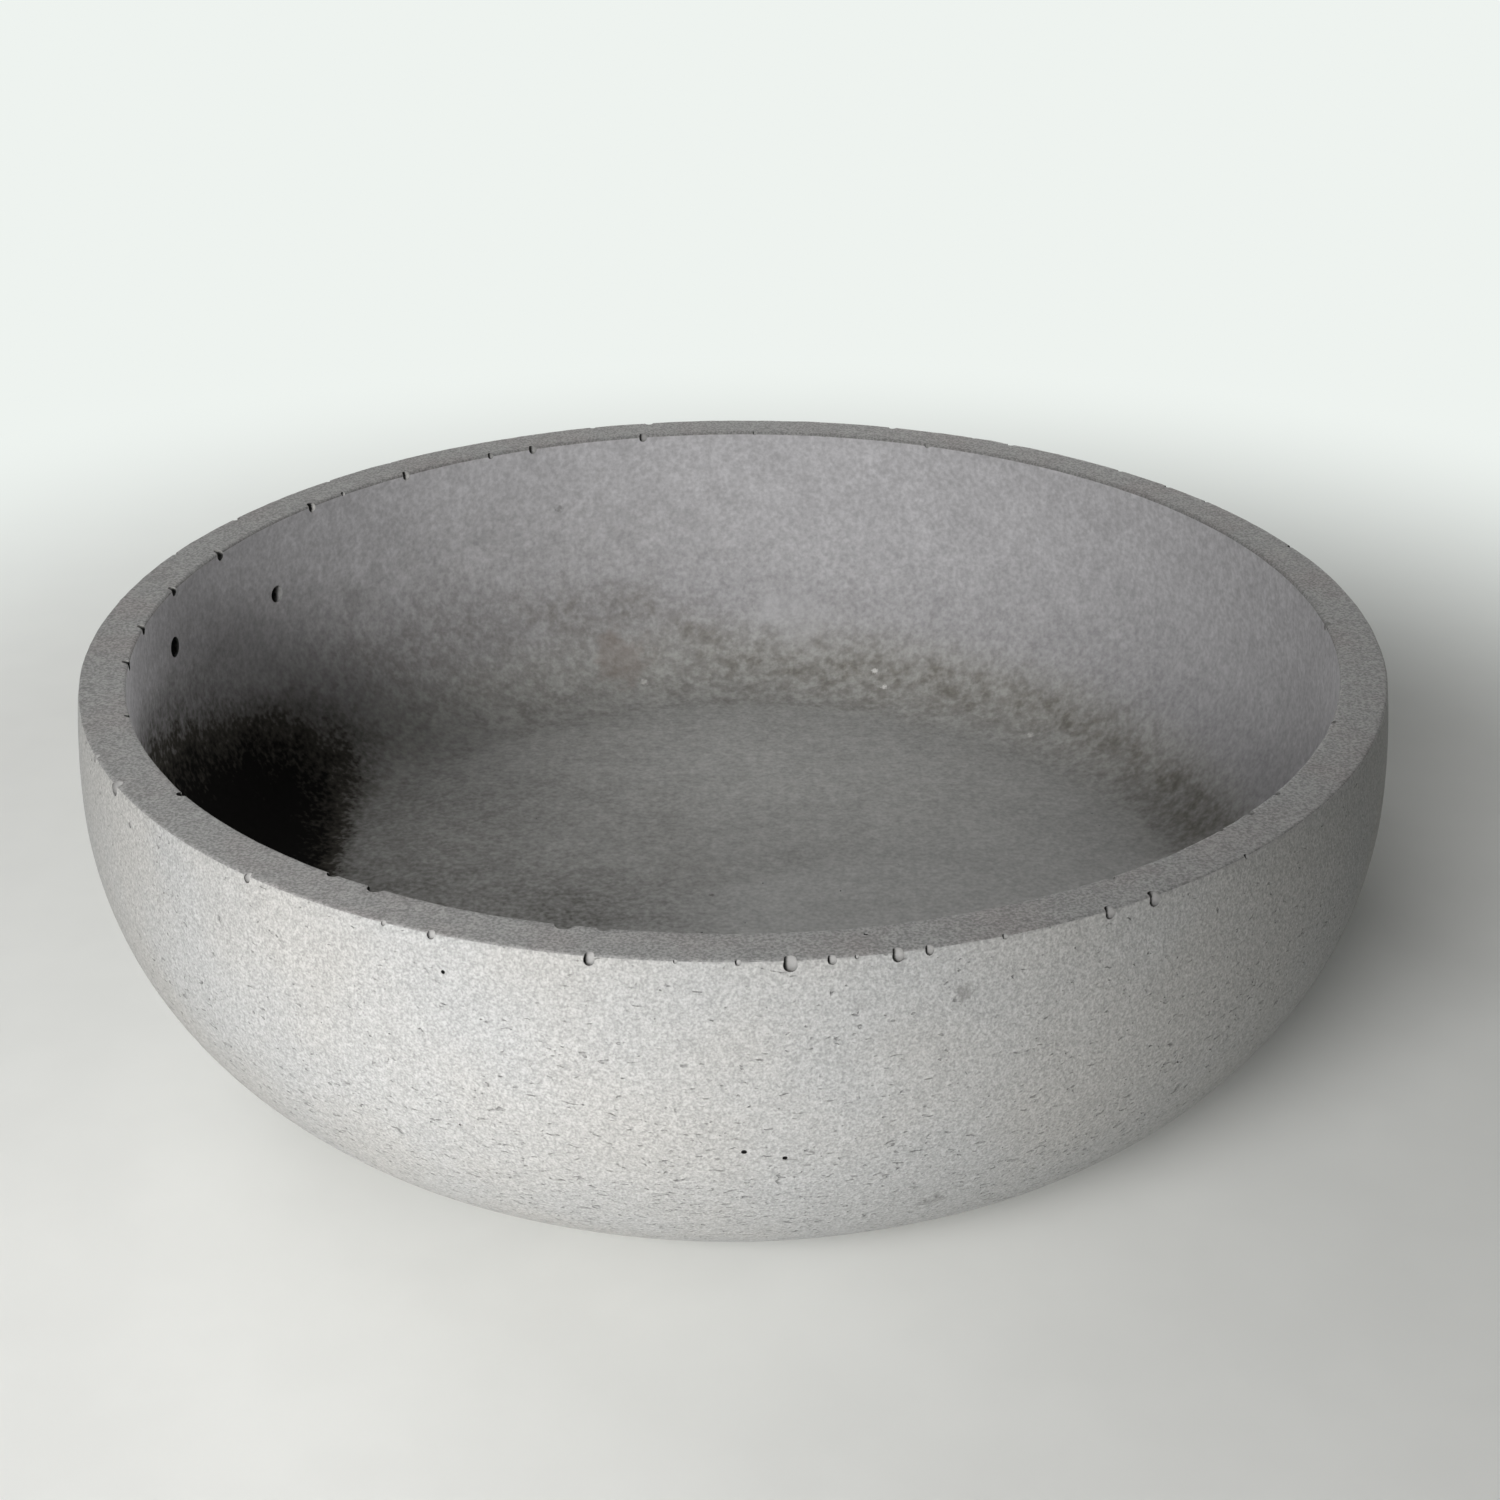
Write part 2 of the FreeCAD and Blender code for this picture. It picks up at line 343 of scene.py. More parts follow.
def relief(tree, surface, *layers):
    """Bumps the surface by layers of height, each with its depth in metres."""
    normal = None
    for height, depth in layers:
        inputs = {"Height": height, "Distance": depth}
        if normal is not None:
            inputs["Normal"] = normal
        normal = add_node(tree, "ShaderNodeBump", inputs).outputs[0]
    tree.links.new(normal, surface.inputs["Normal"])


WARM_OUTSIDE = (0.455, 0.447, 0.431, 1.0)
COOL_OUTSIDE = (0.446, 0.446, 0.440, 1.0)
SMUDGE = (0.20, 0.195, 0.185, 1.0)
OUTSIDE_SMUDGES = (
    ((963, 993), 0.0024, 0.55),
    ((930, 1201), 0.0040, 0.45),
    ((861, 1006), 0.0016, 0.3),
)
SAND_SIZE = 0.0010
SAND_RELIEF = 0.00024
DUST_SIZE = 0.0005
MOTTLE_SIZE = 0.006
PATCH_SIZE = 0.05
DASH_SIZE = 0.0021
DASH_DETAIL = 1.0
DASH_TWIST = 0.7
DASH_FLATTENING = (1.0, 1.0, 2.2)
DASH_EDGE, DASH_HEART = 0.305, 0.20
DASH_SHADE = 0.70
DASH_RELIEF = -0.00025
CROWDING = 0.09
CROWDING_BELOW_RIM = 0.01
CROWDING_ABOVE_BASE = 0.02
PAINTED_FOOT_LIGHT = 1.13
PAINTED_FOOT_LIGHT_TOP, PAINTED_FOOT_LIGHT_FULL = 0.040, 0.004


def outside_concrete():
    """Sandy face from the mould: light grains, short level pits that crowd towards the base, and painted
    light towards the foot.
    """
    material, tree, surface, place = start_material("sandy_outside", roughness=0.92)
    sand = grain(tree, place, SAND_SIZE)
    dust = grain(tree, place, DUST_SIZE)
    mottle = grain(tree, place, MOTTLE_SIZE)
    patches = grain(tree, place, PATCH_SIZE)
    flattened = stretched(tree, place, DASH_FLATTENING)
    dashes = grain(tree, flattened, DASH_SIZE, DASH_DETAIL, DASH_TWIST)
    height = height_of(tree, place)
    crowding_top = rim_height - CROWDING_BELOW_RIM
    crowding_foot = base_height + CROWDING_ABOVE_BASE
    crowding = remap(tree, height, crowding_top, crowding_foot, 0.0, CROWDING, smooth=False)
    crowded = math_of(tree, "SUBTRACT", dashes, crowding)
    pits = remap(tree, crowded, DASH_EDGE, DASH_HEART, 0.0, 1.0)
    # Painted light: the wall turns paler towards its foot, where light comes back off the floor.
    painted_light_top = base_height + PAINTED_FOOT_LIGHT_TOP
    painted_light_full = base_height + PAINTED_FOOT_LIGHT_FULL
    colour = blend(tree, clouded(tree, patches, 0.0, 1.0), WARM_OUTSIDE, COOL_OUTSIDE)
    colour = shaded(
        tree, colour,
        speckled(tree, sand, at_low=0.88, at_high=1.12),
        speckled(tree, dust, at_low=0.87, at_high=1.13),
        clouded(tree, mottle, at_low=0.985, at_high=1.015),
        remap(tree, pits, 0.0, 1.0, 1.0, DASH_SHADE, smooth=False),
        remap(tree, height, painted_light_top, painted_light_full, 1.0, PAINTED_FOOT_LIGHT),
    )
    for pixel, radius, strength in OUTSIDE_SMUDGES:
        mark = spot(tree, place, on_casting(pixel)[0], radius, strength)
        colour = blend(tree, mark, colour, SMUDGE)
    tree.links.new(colour, surface.inputs["Base Color"])
    relief(tree, surface, (sand, SAND_RELIEF), (pits, DASH_RELIEF))
    return material


RIM_GREY = (0.320, 0.318, 0.310, 1.0)
RIM_BROWN = (0.310, 0.296, 0.288, 1.0)
RIM_SPECK_SIZE = 0.0006
RIM_SPECK_SPAN = (0.36, 0.64)
RIM_SPECK_RELIEF = 0.00012
RIM_MOTTLE_SIZE = 0.004
RIM_CLOUD_SIZE = 0.02
RIM_CLOUD_SPAN = (0.4, 0.7)


def rim_concrete():
    """Struck face: even grey with fine dark specks and faint brown clouds."""
    material, tree, surface, place = start_material("struck_rim", roughness=0.88)
    specks = grain(tree, place, RIM_SPECK_SIZE)
    clouds = grain(tree, place, RIM_CLOUD_SIZE)
    mottle = grain(tree, place, RIM_MOTTLE_SIZE)
    colour = blend(tree, clouded(tree, clouds, 0.0, 1.0, RIM_CLOUD_SPAN), RIM_GREY, RIM_BROWN)
    colour = shaded(
        tree, colour,
        speckled(tree, specks, at_low=0.73, at_high=1.25, span=RIM_SPECK_SPAN),
        clouded(tree, mottle, at_low=0.95, at_high=1.05),
    )
    tree.links.new(colour, surface.inputs["Base Color"])
    relief(tree, surface, (specks, RIM_SPECK_RELIEF))
    return material


WALL_LILAC = (0.402, 0.397, 0.405, 1.0)
WALL_PAINTED_LIGHT = (0.595, 0.587, 0.599, 1.0)
FLOOR_GREY = (0.464, 0.464, 0.450, 1.0)
TIDE_AND_PAINTED_SHADE_BROWN = (0.165, 0.153, 0.130, 1.0)
PAINTED_SHADE_AND_SOIL_BROWN = (0.075, 0.070, 0.060, 1.0)
BLACK_SOIL_AND_PAINTED_SHADE = (0.009, 0.0085, 0.008, 1.0)
PALE_DUST = (0.53, 0.525, 0.53, 1.0)
RUST_TINT = (0.245, 0.20, 0.172, 1.0)
LIME_AND_PAINTED_LIGHT_WHITE = (0.72, 0.71, 0.68, 1.0)
INSIDE_MARKS = (
    ((353, 601), 0.0060, 0.35, SMUDGE),
    ((559, 509), 0.0014, 0.50, SMUDGE),
    ((795, 618), 0.0150, 0.22, PALE_DUST),
    ((620, 660), 0.0110, 0.40, RUST_TINT),
    ((875, 671), 0.0011, 0.9, LIME_AND_PAINTED_LIGHT_WHITE),
    ((884, 687), 0.0011, 0.9, LIME_AND_PAINTED_LIGHT_WHITE),
    ((644, 682), 0.0013, 0.6, LIME_AND_PAINTED_LIGHT_WHITE),
    ((1030, 735), 0.0012, 0.6, LIME_AND_PAINTED_LIGHT_WHITE),
    ((712, 895), 0.0010, 0.8, SMUDGE),
)
INSIDE_GLOSS = 0.02
FINE_SIZE = 0.0012
FINE_RELIEF = 0.00010
COARSE_SIZE = 0.0028
COARSE_DETAIL = 3.0
INSIDE_CLOUD_SIZE = 0.012
WALL_FOOT, WALL_FULL = 0.004, 0.02
PAINTED_WALL_LIGHT_FOOT, PAINTED_WALL_LIGHT_FULL = 0.023, 0.064
TIDE_SPECK_SPAN = (0.38, 0.66)
TIDE_BLOTCH_SIZE = 0.007
TIDE_RELIEF = 0.0004
STIPPLE_SIZE = 0.0015
STIPPLE_DETAIL = 3.0
CLOT_SIZE = 0.006
SHADE_AND_SOIL_FROM, SHADE_AND_SOIL_FULL = 0.12, 0.55
BLACK_FROM, BLACK_FULL = 0.40, 1.05


def inside_concrete():
    """Lilac wall, paler up high by painted light, over a grey floor; a brown tide and painted shade in
    the cove, black soil and painted shade at one side.
    """
    material, tree, surface, place = start_material("smooth_inside", roughness=0.9, gloss=INSIDE_GLOSS)
    fine = grain(tree, place, FINE_SIZE)
    coarse = grain(tree, place, COARSE_SIZE, COARSE_DETAIL)
    clouds = grain(tree, place, INSIDE_CLOUD_SIZE)
    height = height_of(tree, place)
    tide_and_painted_shade = mark_of(tree, "tide_and_painted_shade")
    soil_and_painted_shading = mark_of(tree, "soil_and_painted_shading")

    wall_foot = floor_height + WALL_FOOT
    wall_full = floor_height + WALL_FULL
    # Painted light: the wall turns paler towards the rim, where more light falls on it.
    painted_light_foot = floor_height + PAINTED_WALL_LIGHT_FOOT
    painted_light_full = floor_height + PAINTED_WALL_LIGHT_FULL
    wall_share = remap(tree, height, wall_foot, wall_full, 0.0, 1.0)
    painted_light_share = remap(tree, height, painted_light_foot, painted_light_full, 0.0, 1.0, smooth=False)
    wall = blend(tree, painted_light_share, WALL_LILAC, WALL_PAINTED_LIGHT)
    colour = blend(tree, wall_share, FLOOR_GREY, wall)

    # The tide mark holds the soil's brown tide and the painted shade along the cove's corner.
    pale_specks = clouded(tree, coarse, at_low=1.10, at_high=0.72, span=TIDE_SPECK_SPAN)
    blotches = speckled(tree, grain(tree, place, TIDE_BLOTCH_SIZE), at_low=0.76, at_high=1.24)
    mottle = math_of(tree, "MULTIPLY", pale_specks, blotches)
    colour = blend(tree, math_of(tree, "MULTIPLY", tide_and_painted_shade, mottle), colour, TIDE_AND_PAINTED_SHADE_BROWN)
    colour = shaded(
        tree, colour,
        speckled(tree, fine, at_low=0.89, at_high=1.11),
        speckled(tree, coarse, at_low=0.92, at_high=1.08),
        clouded(tree, clouds, at_low=0.97, at_high=1.03),
    )
    for pixel, radius, strength, tint in INSIDE_MARKS:
        mark = spot(tree, place, on_casting(pixel)[0], radius, strength)
        colour = blend(tree, mark, colour, tint)

    # Brown and black from the soil mark: soil stains and painted shade alike.
    stipple = speckled(tree, grain(tree, place, STIPPLE_SIZE, STIPPLE_DETAIL), at_low=0.78, at_high=1.22)
    clots = speckled(tree, grain(tree, place, CLOT_SIZE), at_low=0.85, at_high=1.15)
    patchy_soil_and_shading = math_of(tree, "MULTIPLY", soil_and_painted_shading, math_of(tree, "MULTIPLY", stipple, clots))
    shade_and_soil_share = remap(tree, patchy_soil_and_shading, SHADE_AND_SOIL_FROM, SHADE_AND_SOIL_FULL, 0.0, 1.0, smooth=False)
    black_soil_and_shade_share = remap(tree, patchy_soil_and_shading, BLACK_FROM, BLACK_FULL, 0.0, 1.0)
    colour = blend(tree, shade_and_soil_share, colour, PAINTED_SHADE_AND_SOIL_BROWN)
    colour = blend(tree, black_soil_and_shade_share, colour, BLACK_SOIL_AND_PAINTED_SHADE)
    tree.links.new(colour, surface.inputs["Base Color"])
    crust = math_of(tree, "MULTIPLY", coarse, tide_and_painted_shade)
    relief(tree, surface, (fine, FINE_RELIEF), (crust, TIDE_RELIEF))
    return material


BUBBLE_GREY = (0.43, 0.425, 0.415)
BUBBLE_GRAIN_SIZE = 0.0008
BUBBLE_RELIEF = 0.00006


def air_hole_concrete():
    """Smooth cement skin of a trapped bubble, with painted shade in black and painted light in white
    where the vertices mark them.
    """
    material, tree, surface, place = start_material("air_hole_skin", roughness=0.85)
    fine = grain(tree, place, BUBBLE_GRAIN_SIZE)
    soil_and_painted_shading = mark_of(tree, "soil_and_painted_shading")
    # Painted light in white and painted shade in black, as the vertices mark them.
    painted_light = remap(tree, soil_and_painted_shading, 0.0, -1.0, 0.0, 1.0, smooth=False)
    colour = shaded(tree, BUBBLE_GREY, speckled(tree, fine, at_low=0.92, at_high=1.06, span=WIDE_SPAN))
    colour = blend(tree, painted_light, colour, LIME_AND_PAINTED_LIGHT_WHITE)
    colour = blend(tree, soil_and_painted_shading, colour, BLACK_SOIL_AND_PAINTED_SHADE)
    tree.links.new(colour, surface.inputs["Base Color"])
    relief(tree, surface, (fine, BUBBLE_RELIEF))
    return material


for finish in (outside_concrete(), rim_concrete(), inside_concrete()):
    casting_mesh.materials.append(finish)
casting_mesh.polygons.foreach_set("material_index", face_skins)


# Bowl casting: pad seats and air holes
# Four shallow round seats are moulded under the base. Bubbles trapped against the mould left round
# holes, mostly along the two arrises, and scattered small pits on the outer wall.
PAD_COUNT = 4
PAD_INSET = 0.022
SEAT_CLEARANCE = 0.0003
SEAT_DEPTH = 0.0013
SEAT_SIDES = 64
ARRIS_HOLES_OUTSIDE = (
    ((95, 756), 0.0018), ((111, 785), 0.0030), ((240, 879), 0.0019), ((380, 924), 0.0010),
    ((420, 943), 0.0016), ((587, 960), 0.0024), ((674, 966), 0.0007), ((738, 964), 0.0011),
    ((791, 964), 0.0028), ((833, 960), 0.0017), ((858, 958), 0.0008), ((900, 955), 0.0025),
    ((932, 951), 0.0018), ((1008, 938), 0.0010), ((1115, 913), 0.0023), ((1158, 897), 0.0028),
    ((1247, 855), 0.0010),
)
ARRIS_HOLES_INSIDE = (
    ((179, 588), 0.0024), ((145, 626), 0.0024), ((127, 661), 0.0026), ((126, 715), 0.0020),
    ((180, 794), 0.0029), ((230, 553), 0.0027), ((318, 506), 0.0024), ((348, 494), 0.0011),
    ((408, 474), 0.0022), ((492, 455), 0.0016), ((534, 448), 0.0022), ((643, 435), 0.0022),
    ((755, 431), 0.0011), ((913, 457), 0.0014), ((1325, 623), 0.0020), ((1328, 721), 0.0019),
    ((1272, 792), 0.0022), ((1245, 811), 0.0026), ((1216, 827), 0.0017), ((1112, 878), 0.0024),
)
FRONT_LIP_HOLES = (
    ((333, 874), 0.0026), ((376, 888), 0.0035), ((488, 913), 0.0012), ((565, 924), 0.0038),
    ((605, 927), 0.0027), ((920, 919), 0.0019),
)
WALL_HOLES = (((277, 594), 0.0046), ((175, 647), 0.0052))
PIN_HOLES = (((443, 972), 0.0008), ((744, 1152), 0.0011), ((785, 1158), 0.0010))
FACE_HOLES = (
    ((461, 1125), 0.0008), ((1179, 1061), 0.0010), ((866, 934), 0.0009), ((130, 825), 0.0012),
)
FACE_SINK = 0.45
ARRIS_DROP, ARRIS_INSET = 0.75, 0.45
LIP_DROP, LIP_INSET = 0.35, 0.20
OPENING_SHARE = 0.89
TO_CENTRE, FROM_CENTRE = -1, 1
UNSEEN_ARRIS_HOLES = 16
UNSEEN_FROM, UNSEEN_TO = math.radians(15), math.radians(165)
UNSEEN_SIZES = (0.0008, 0.0030)
UNSEEN_SEED = 11


def arris_bubble(bearing, arris_radius, sunk, diameter, drop=ARRIS_DROP, inset=ARRIS_INSET):
    """Centre and radius of a bubble that broke through an arris of the rim."""
    radius = diameter / 2 / OPENING_SHARE
    reach = arris_radius + sunk * radius * inset
    height = rim_height - radius * drop
    return Vector((reach * math.cos(bearing), reach * math.sin(bearing), height)), radius


def face_bubble(pixel, diameter):
    """Centre and radius of a bubble that broke through the face of the casting."""
    point, outward = on_casting(pixel)
    radius = diameter / 2 / OPENING_SHARE
    return point - outward * radius * FACE_SINK, radius


def rim_bearing(pixel):
    """Bearing of the point of the rim plane that the photograph shows at this pixel."""
    direction = sight_line(pixel)
    at_rim = EYE + direction * (rim_height - EYE.z) / direction.z
    return math.atan2(at_rim.y, at_rim.x)


outer_bubbles = [
    arris_bubble(rim_bearing(pixel), RIM_RADIUS, TO_CENTRE, size)
    for pixel, size in ARRIS_HOLES_OUTSIDE
]
outer_bubbles += [face_bubble(pixel, size) for pixel, size in FACE_HOLES]
draw = random.Random(UNSEEN_SEED)
unseen_spacing = (UNSEEN_TO - UNSEEN_FROM) / UNSEEN_ARRIS_HOLES
for number in range(UNSEEN_ARRIS_HOLES):
    bearing = UNSEEN_FROM + (number + draw.random()) * unseen_spacing
    outer_bubbles.append(arris_bubble(bearing, RIM_RADIUS, TO_CENTRE, draw.uniform(*UNSEEN_SIZES)))
inner_bubbles = [
    arris_bubble(rim_bearing(pixel), mouth_radius, FROM_CENTRE, size)
    for pixel, size in ARRIS_HOLES_INSIDE
]
wall_bubbles = [face_bubble(pixel, size) for pixel, size in WALL_HOLES]
pin_bubbles = [face_bubble(pixel, size) for pixel, size in PIN_HOLES]
lip_bubbles = [
    arris_bubble(rim_bearing(pixel), mouth_radius, FROM_CENTRE, size, LIP_DROP, LIP_INSET)
    for pixel, size in FRONT_LIP_HOLES
]
hole_places = outer_bubbles + inner_bubbles + wall_bubbles + pin_bubbles + lip_bubbles

places_mesh = bpy.data.meshes.new("air_hole_places")
places_mesh.from_pydata([place for place, _ in hole_places], [], [])
sizes = places_mesh.attributes.new("hole_radius", "FLOAT", "POINT")
sizes.data.foreach_set("value", [radius for _, radius in hole_places])
places = bpy.data.objects.new("air_hole_places", places_mesh)

FEWEST_PITS, MORE_PITS_BELOW = 0.15, 0.85
PITS_BELOW_RIM = 0.008
PITS_ABOVE_BASE = 0.006
middle_of_rim = mouth_radius + RIM_WIDTH / 2


def share_of_pits(x, y, z):
    """Share of the small pits at a point of the outer wall, which crowd towards the base."""
    inside = math.hypot(x, y) <= middle_of_rim and z >= floor_height
    below_rim = rim_height - PITS_BELOW_RIM - z
    if inside or below_rim < 0 or z < base_height + PITS_ABOVE_BASE:
        return 0.0
    return FEWEST_PITS + MORE_PITS_BELOW * below_rim / rim_height


pit_shares = casting_mesh.attributes.new("pit_share", "FLOAT", "POINT")
pit_shares.data.foreach_set("value", [share_of_pits(*vertex) for vertex in vertices])


def start_tree(name, inputs):
    """New node tree for a mesh, with its named inputs; returns it with its input and output nodes."""
    tree = bpy.data.node_groups.new(name, "GeometryNodeTree")
    tree.interface.new_socket("Casting", in_out="INPUT", socket_type="NodeSocketGeometry")
    for label, kind in inputs.items():
        tree.interface.new_socket(label, in_out="INPUT", socket_type=kind)
    tree.interface.new_socket("Casting", in_out="OUTPUT", socket_type="NodeSocketGeometry")
    return tree, tree.nodes.new("NodeGroupInput").outputs, tree.nodes.new("NodeGroupOutput").inputs


def work(piece, tree, values):
    """Runs a node tree on a piece and keeps the result as the piece's plain mesh."""
    modifier = piece.modifiers.new(tree.name, "NODES")
    modifier.node_group = tree
    for item in tree.interface.items_tree:
        if item.in_out == "INPUT" and item.name in values:
            modifier[item.identifier] = values[item.name]
    depsgraph = bpy.context.evaluated_depsgraph_get()
    worked = bpy.data.meshes.new_from_object(
        piece.evaluated_get(depsgraph), preserve_all_data_layers=True, depsgraph=depsgraph,
    )
    piece.modifiers.remove(modifier)
    piece.data = worked


def cut_and_finish(tree, casting_socket, cutters, finish, group_out):
    """Takes the cutters out of the casting and gives what they leave its own finish."""
    marked = add_node(
        tree, "GeometryNodeStoreNamedAttribute",
        {"Geometry": cutters, "Name": "cut_face", "Value": True},
        data_type="BOOLEAN", domain="FACE",
    )
    cut = add_node(
        tree, "GeometryNodeMeshBoolean", {0: casting_socket, 1: marked.outputs[0]},
        operation="DIFFERENCE", solver="MANIFOLD",
    )
    whole = add_node(tree, "GeometryNodeRealizeInstances", {0: cut.outputs["Mesh"]})
    is_cut = add_node(tree, "GeometryNodeInputNamedAttribute", {"Name": "cut_face"}, data_type="BOOLEAN")
    finished = add_node(
        tree, "GeometryNodeSetMaterial",
        {"Geometry": whole.outputs[0], "Selection": is_cut.outputs[0], "Material": finish},
    )
    tree.links.new(finished.outputs[0], group_out["Casting"])


def air_hole_tree():
    """Round holes at the given places, and small level pits scattered by the pit_share attribute."""
    tree, given, group_out = start_tree("air_holes", {
        "Hole Places": "NodeSocketObject",
        "Hole Finish": "NodeSocketMaterial",
        "Pit Spacing": "NodeSocketFloat",
        "Pits per Square Metre": "NodeSocketFloat",
        "Smallest Pit": "NodeSocketFloat",
        "Largest Pit": "NodeSocketFloat",
        "Pit Stretch": "NodeSocketVector",
        "Seed": "NodeSocketInt",
    })
    info = add_node(tree, "GeometryNodeObjectInfo", {"Object": given["Hole Places"]})
    hole_radius = add_node(tree, "GeometryNodeInputNamedAttribute", {"Name": "hole_radius"})
    bubble = add_node(tree, "GeometryNodeMeshIcoSphere", {"Radius": 1.0, "Subdivisions": 3})
    bubbles = add_node(tree, "GeometryNodeInstanceOnPoints", {
        "Points": info.outputs["Geometry"],
        "Instance": bubble.outputs[0],
        "Scale": hole_radius.outputs[0],
    })
    pit_share = add_node(tree, "GeometryNodeInputNamedAttribute", {"Name": "pit_share"})
    scatter = add_node(tree, "GeometryNodeDistributePointsOnFaces", {
        "Mesh": given["Casting"],
        "Distance Min": given["Pit Spacing"],
        "Density Max": given["Pits per Square Metre"],
        "Density Factor": pit_share.outputs[0],
        "Seed": given["Seed"],
    }, distribute_method="POISSON")
    outward = scatter.outputs["Normal"]
    level = add_node(
        tree, "ShaderNodeVectorMath", {0: (0.0, 0.0, 1.0), 1: outward}, operation="CROSS_PRODUCT",
    )
    turn = add_node(tree, "FunctionNodeAxesToRotation", {0: outward, 1: level.outputs[0]})
    size = add_node(tree, "FunctionNodeRandomValue", {
        2: given["Smallest Pit"], 3: given["Largest Pit"], "Seed": given["Seed"],
    })
    stretch = add_node(
        tree, "ShaderNodeVectorMath", {0: given["Pit Stretch"], "Scale": size.outputs[1]},
        operation="SCALE",
    )
    pit = add_node(tree, "GeometryNodeMeshIcoSphere", {"Radius": 0.5, "Subdivisions": 2})
    pits = add_node(tree, "GeometryNodeInstanceOnPoints", {
        "Points": scatter.outputs["Points"],
        "Instance": pit.outputs[0],
        "Rotation": turn.outputs[0],
        "Scale": stretch.outputs[0],
    })
    cutters = tree.nodes.new("GeometryNodeJoinGeometry")
    tree.links.new(bubbles.outputs[0], cutters.inputs[0])
    tree.links.new(pits.outputs[0], cutters.inputs[0])
    solid = add_node(tree, "GeometryNodeRealizeInstances", {0: cutters.outputs[0]})
    cut_and_finish(tree, given["Casting"], solid.outputs[0], given["Hole Finish"], group_out)
    return tree


def pad_seat_tree():
    """Round flat seats, evenly spaced on a circle, sunk into the underside."""
    tree, given, group_out = start_tree("pad_seats", {
        "Seat Finish": "NodeSocketMaterial",
        "Seats": "NodeSocketInt",
        "Pitch Radius": "NodeSocketFloat",
        "Seat Radius": "NodeSocketFloat",
        "Seat Cut": "NodeSocketFloat",
        "Underside": "NodeSocketVector",
    })
    ring = add_node(tree, "GeometryNodeMeshCircle", {
        "Vertices": given["Seats"], "Radius": given["Pitch Radius"],
    })
    plug = add_node(tree, "GeometryNodeMeshCylinder", {
        "Vertices": SEAT_SIDES, "Radius": given["Seat Radius"], "Depth": given["Seat Cut"],
    })
    plugs = add_node(tree, "GeometryNodeInstanceOnPoints", {
        "Points": ring.outputs[0], "Instance": plug.outputs["Mesh"],
    })
    solid = add_node(tree, "GeometryNodeRealizeInstances", {0: plugs.outputs[0]})
    lowered = add_node(tree, "GeometryNodeTransform", {
        "Geometry": solid.outputs[0], "Translation": given["Underside"],
    })
    cut_and_finish(tree, given["Casting"], lowered.outputs[0], given["Seat Finish"], group_out)
    return tree


pad_low, pad_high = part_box("right_foot_pad")
pad_radius = (pad_high.y - pad_low.y) / 2
hole_finish = air_hole_concrete()
work(casting, pad_seat_tree(), {
    "Seat Finish": hole_finish,
    "Seats": PAD_COUNT,
    "Pitch Radius": base_radius - PAD_INSET,
    "Seat Radius": pad_radius + SEAT_CLEARANCE,
    "Seat Cut": 2 * SEAT_DEPTH,
    "Underside": (0.0, 0.0, base_height),
})
work(casting, air_hole_tree(), {
    "Hole Places": places,
    "Hole Finish": hole_finish,
    "Pit Spacing": 0.006,
    "Pits per Square Metre": 6000.0,
    "Smallest Pit": 0.0003,
    "Largest Pit": 0.0007,
    "Pit Stretch": (1.0, 0.7, 1.9),
    "Seed": 5,
})
bpy.data.objects.remove(places)


# Bowl casting: soil marks, painted shade and painted light
# Potting soil left a brown tide along the cove, higher at the back left, and a black patch at the left
# that is partly soil and partly painted shade. Painted shade also darkens the cove's corner, the left
# wall, the floor by the lip and the air holes, some of which have painted light. Marks are laid on the
# vertices by bearing, in degrees from the right, and by height.
def step(value, start, end):
    """Smooth rise from 0 at start to 1 at end."""
    share = np.clip((value - start) / (end - start), 0.0, 1.0)
    return share * share * (3 - 2 * share)


mesh = casting.data
places_flat = np.empty(len(mesh.vertices) * 3, np.float32)
mesh.vertices.foreach_get("co", places_flat)
points = places_flat.reshape(-1, 3)
x, y, z = points.T
radii = np.hypot(x, y)
bearings = np.degrees(np.arctan2(y, x)) % 360

deepest_turn = math.sin(cove_drop)
cove_turn = np.arccos(np.clip((cove_height - z) / COVE_RADIUS, deepest_turn, 1.0))
wall_turn = cove_drop - np.arcsin(np.clip((wall_centre[1] - z) / wall_curve, 0.0, deepest_turn))
up_wall = COVE_RADIUS * cove_turn + wall_curve * wall_turn + np.maximum(z - wall_centre[1], 0.0)
climb = np.where(radii < floor_radius, radii - floor_radius, up_wall)


def bearing_from(centre):
    """Angle in degrees between each vertex and a bearing, taken the short way round."""
    return np.abs((bearings - centre + 180) % 360 - 180)


def round_about(bearing, reach, full):
    """1 within the full angle of a bearing, falling to 0 at the reach."""
    return step(bearing_from(bearing), reach, full)


def patch(bearing, half_angle, middle_climb, half_climb, edge, heart):
    """Round patch on the wall, rising from 0 at its edge to 1 at its heart."""
    around = bearing_from(bearing) / half_angle
    return step(np.hypot(around, (climb - middle_climb) / half_climb), edge, heart)


